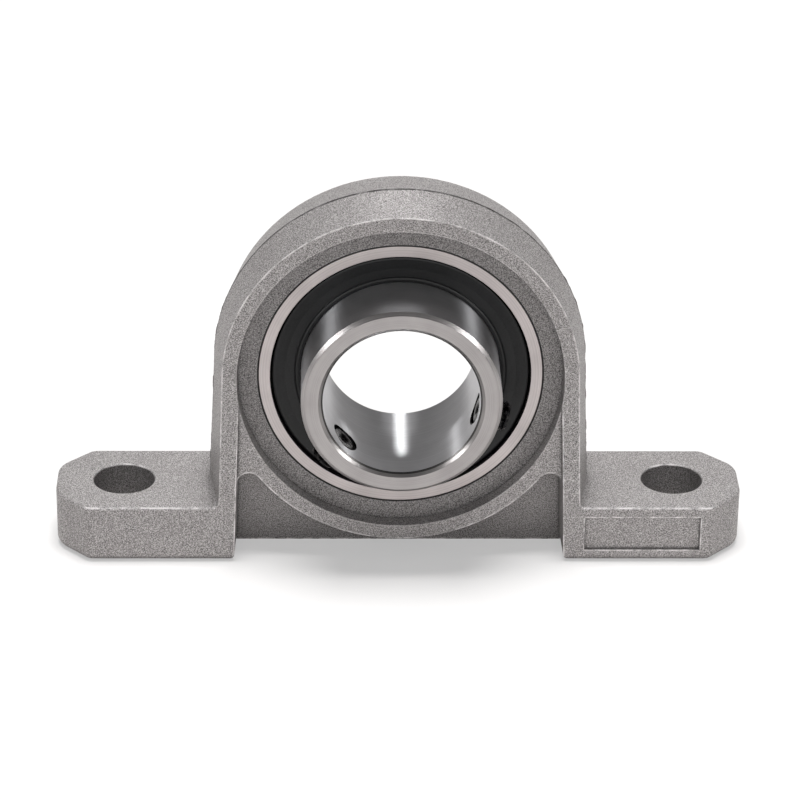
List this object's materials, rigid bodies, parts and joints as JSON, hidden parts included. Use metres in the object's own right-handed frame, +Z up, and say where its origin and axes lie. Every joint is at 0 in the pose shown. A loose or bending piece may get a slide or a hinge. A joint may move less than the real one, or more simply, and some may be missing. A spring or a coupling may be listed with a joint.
{
  "type": "pillow block bearing",
  "caption": "Cast two-bolt pillow block with a self-aligning sealed ball bearing insert, a wide inner ring and two set screws that lock it on the shaft.",
  "frame": {"origin": "middle of the base plane, under the middle of the spherical seat", "axes": "+X through both feet, -Y along the shaft to the side where the inner ring stands out, +Z up from the base to the shaft"},
  "size_m": [0.112, 0.026, 0.062],
  "materials": {
    "zinc_casting": "bead-blasted die-cast zinc, bare",
    "ring_steel": "ground bearing steel, satin",
    "ball_steel": "lapped bearing steel, mirror",
    "cage_steel": "stamped sheet steel",
    "rivet_steel": "pressed steel rivet",
    "seal_core_steel": "stamped sheet steel",
    "seal_rubber": "moulded nitrile rubber, matt",
    "black_oxide_steel": "black oxide"
  },
  "bodies": {
    "housing": {"housing": "zinc_casting"},
    "outer_ring": {"outer_ring": "ring_steel", "front_seal": "seal_rubber", "front_seal_core": "seal_core_steel", "back_seal": "seal_rubber", "back_seal_core": "seal_core_steel"},
    "inner_ring": {"inner_ring": "ring_steel"},
    "cage": {"cage_front": "cage_steel", "cage_back": "cage_steel", "cage_rivets": "rivet_steel"},
    "set_screw_right": {"set_screw_right": "black_oxide_steel"},
    "set_screw_left": {"set_screw_left": "black_oxide_steel"},
    "ball_01": {"ball_01": "ball_steel"},
    "ball_02": {"ball_02": "ball_steel"},
    "ball_03": {"ball_03": "ball_steel"},
    "ball_04": {"ball_04": "ball_steel"},
    "ball_05": {"ball_05": "ball_steel"},
    "ball_06": {"ball_06": "ball_steel"},
    "ball_07": {"ball_07": "ball_steel"},
    "ball_08": {"ball_08": "ball_steel"},
    "ball_09": {"ball_09": "ball_steel"},
    "ball_10": {"ball_10": "ball_steel"}
  },
  "joints": [
    {"name": "insert_tilt", "type": "hinge", "parent": "housing", "child": "outer_ring", "pos_m": [0, 0, 0.032], "axis": [1, 0, 0], "range_deg": [-5, 5]},
    {"name": "ring_spin", "type": "hinge", "parent": "outer_ring", "child": "inner_ring", "pos_m": [0, 0, 0.032], "axis": [0, 1, 0], "continuous": true},
    {"name": "cage_orbit", "type": "hinge", "parent": "outer_ring", "child": "cage", "pos_m": [0, 0, 0.032], "axis": [0, 1, 0], "continuous": true},
    {"name": "ball_01_roll", "type": "hinge", "parent": "cage", "child": "ball_01", "pos_m": [0, 0, 0.05], "axis": [0, 1, 0], "continuous": true},
    {"name": "ball_02_roll", "type": "hinge", "parent": "cage", "child": "ball_02", "pos_m": [-0.01058, 0, 0.04656], "axis": [0, 1, 0], "continuous": true},
    {"name": "ball_03_roll", "type": "hinge", "parent": "cage", "child": "ball_03", "pos_m": [-0.01712, 0, 0.03756], "axis": [0, 1, 0], "continuous": true},
    {"name": "ball_04_roll", "type": "hinge", "parent": "cage", "child": "ball_04", "pos_m": [-0.01712, 0, 0.02644], "axis": [0, 1, 0], "continuous": true},
    {"name": "ball_05_roll", "type": "hinge", "parent": "cage", "child": "ball_05", "pos_m": [-0.01058, 0, 0.01744], "axis": [0, 1, 0], "continuous": true},
    {"name": "ball_06_roll", "type": "hinge", "parent": "cage", "child": "ball_06", "pos_m": [0, 0, 0.014], "axis": [0, 1, 0], "continuous": true},
    {"name": "ball_07_roll", "type": "hinge", "parent": "cage", "child": "ball_07", "pos_m": [0.01058, 0, 0.01744], "axis": [0, 1, 0], "continuous": true},
    {"name": "ball_08_roll", "type": "hinge", "parent": "cage", "child": "ball_08", "pos_m": [0.01712, 0, 0.02644], "axis": [0, 1, 0], "continuous": true},
    {"name": "ball_09_roll", "type": "hinge", "parent": "cage", "child": "ball_09", "pos_m": [0.01712, 0, 0.03756], "axis": [0, 1, 0], "continuous": true},
    {"name": "ball_10_roll", "type": "hinge", "parent": "cage", "child": "ball_10", "pos_m": [0.01058, 0, 0.04656], "axis": [0, 1, 0], "continuous": true},
    {"name": "set_screw_right_travel", "type": "slide", "parent": "inner_ring", "child": "set_screw_right", "axis": [0.9613, 0, -0.2756], "range_m": [-0.0005, 0.002]},
    {"name": "set_screw_left_travel", "type": "slide", "parent": "inner_ring", "child": "set_screw_left", "axis": [-0.7193, 0, -0.6947], "range_m": [-0.0005, 0.002]}
  ],
  "couplings": [
    {"joint": "cage_orbit", "follows": "ring_spin", "ratio": 0.41181},
    {"joint": "ball_01_roll", "follows": "ring_spin", "ratio": -2.7465},
    {"joint": "ball_02_roll", "follows": "ring_spin", "ratio": -2.7465},
    {"joint": "ball_03_roll", "follows": "ring_spin", "ratio": -2.7465},
    {"joint": "ball_04_roll", "follows": "ring_spin", "ratio": -2.7465},
    {"joint": "ball_05_roll", "follows": "ring_spin", "ratio": -2.7465},
    {"joint": "ball_06_roll", "follows": "ring_spin", "ratio": -2.7465},
    {"joint": "ball_07_roll", "follows": "ring_spin", "ratio": -2.7465},
    {"joint": "ball_08_roll", "follows": "ring_spin", "ratio": -2.7465},
    {"joint": "ball_09_roll", "follows": "ring_spin", "ratio": -2.7465},
    {"joint": "ball_10_roll", "follows": "ring_spin", "ratio": -2.7465}
  ]
}
